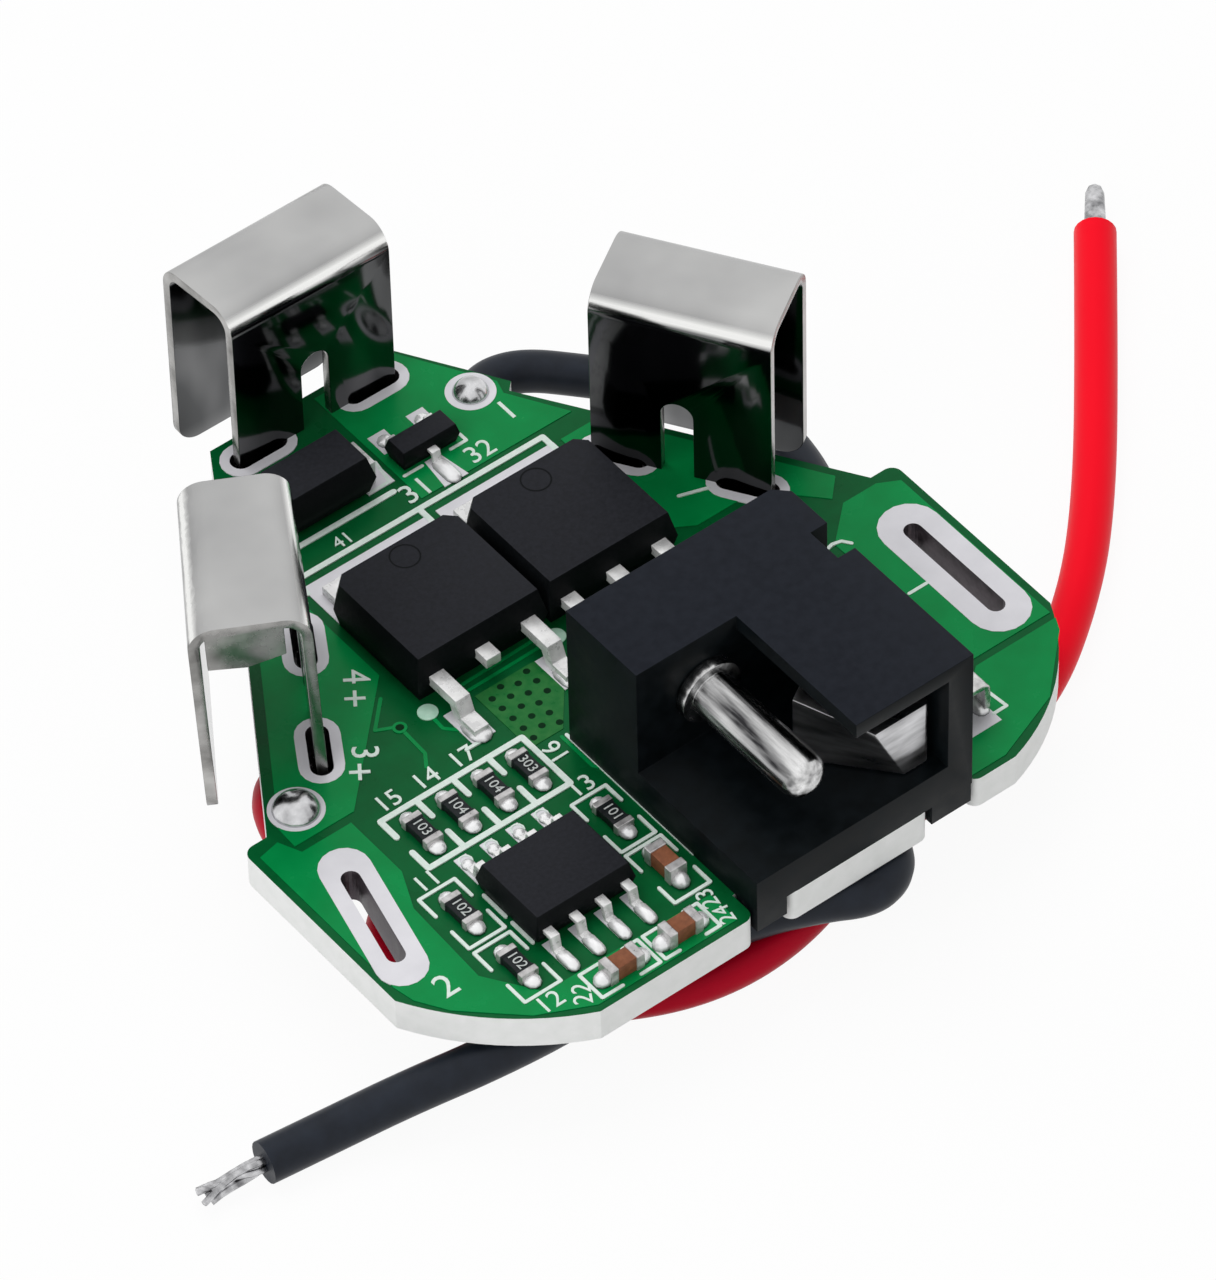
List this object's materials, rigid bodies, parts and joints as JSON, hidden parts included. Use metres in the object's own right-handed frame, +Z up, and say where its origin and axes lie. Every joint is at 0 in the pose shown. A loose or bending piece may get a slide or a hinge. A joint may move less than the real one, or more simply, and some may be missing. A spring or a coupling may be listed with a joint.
{
  "type": "battery protection board",
  "caption": "Shouldered battery protection board with sprung metal clips for cell tabs, a pin-type charging jack, surface-mount parts and two soldered wire leads.",
  "frame": {"origin": "on the board's underside, on the board's middle line from left to right, between the jack and the back edge", "axes": "+X to the right along the jack's width, +Y from the jack's mouth towards the back edge, +Z up out of the board's component side"},
  "size_m": [0.0623, 0.0374, 0.0144],
  "materials": {
    "green_board": "glossy mask",
    "bright_nickel": "bright plated",
    "tinned_metal": "tinned",
    "solder": "bright solder",
    "black_moulding": "moulded",
    "tan_ceramic": "fired",
    "black_insulation": "satin",
    "red_insulation": "satin"
  },
  "bodies": {
    "root": {"top_clip": "bright_nickel", "right_clip": "bright_nickel", "left_clip": "bright_nickel", "circuit_board": "green_board", "jack_housing": "black_moulding", "jack_centre_pin": "tinned_metal", "jack_leaf_contact": "tinned_metal", "jack_side_terminal": "tinned_metal", "jack_pin_terminal": "tinned_metal", "left_mosfet_body": "black_moulding", "left_mosfet_tab": "tinned_metal", "left_mosfet_gate_lead": "tinned_metal", "left_mosfet_source_lead": "tinned_metal", "right_mosfet_body": "black_moulding", "right_mosfet_tab": "tinned_metal", "right_mosfet_gate_lead": "tinned_metal", "right_mosfet_source_lead": "tinned_metal", "control_chip_body": "black_moulding", "control_chip_lead_1": "tinned_metal", "control_chip_lead_2": "tinned_metal", "control_chip_lead_3": "tinned_metal", "control_chip_lead_4": "tinned_metal", "control_chip_lead_5": "tinned_metal", "control_chip_lead_6": "tinned_metal", "control_chip_lead_7": "tinned_metal", "control_chip_lead_8": "tinned_metal", "transistor_body": "black_moulding", "transistor_lead_1": "tinned_metal", "transistor_lead_2": "tinned_metal", "transistor_lead_3": "tinned_metal", "diode_body": "black_moulding", "diode_lead_1": "tinned_metal", "diode_lead_2": "tinned_metal", "resistor_1": "black_moulding", "resistor_2": "black_moulding", "resistor_3": "black_moulding", "resistor_4": "black_moulding", "resistor_5": "black_moulding", "resistor_6": "black_moulding", "resistor_7": "black_moulding", "capacitor_1": "tan_ceramic", "capacitor_2": "tan_ceramic", "capacitor_3": "tan_ceramic", "black_wire_joint": "solder", "red_wire_joint": "solder", "top_clip_solder_left": "solder", "top_clip_solder_right": "solder", "right_clip_solder_left": "solder", "right_clip_solder_right": "solder", "left_clip_solder_left": "solder", "left_clip_solder_right": "solder", "pin_terminal_solder": "solder", "side_terminal_solder": "solder", "black_wire": "black_insulation", "red_wire": "red_insulation", "black_wire_tip": "solder", "red_wire_tip": "solder"}
  },
  "joints": []
}
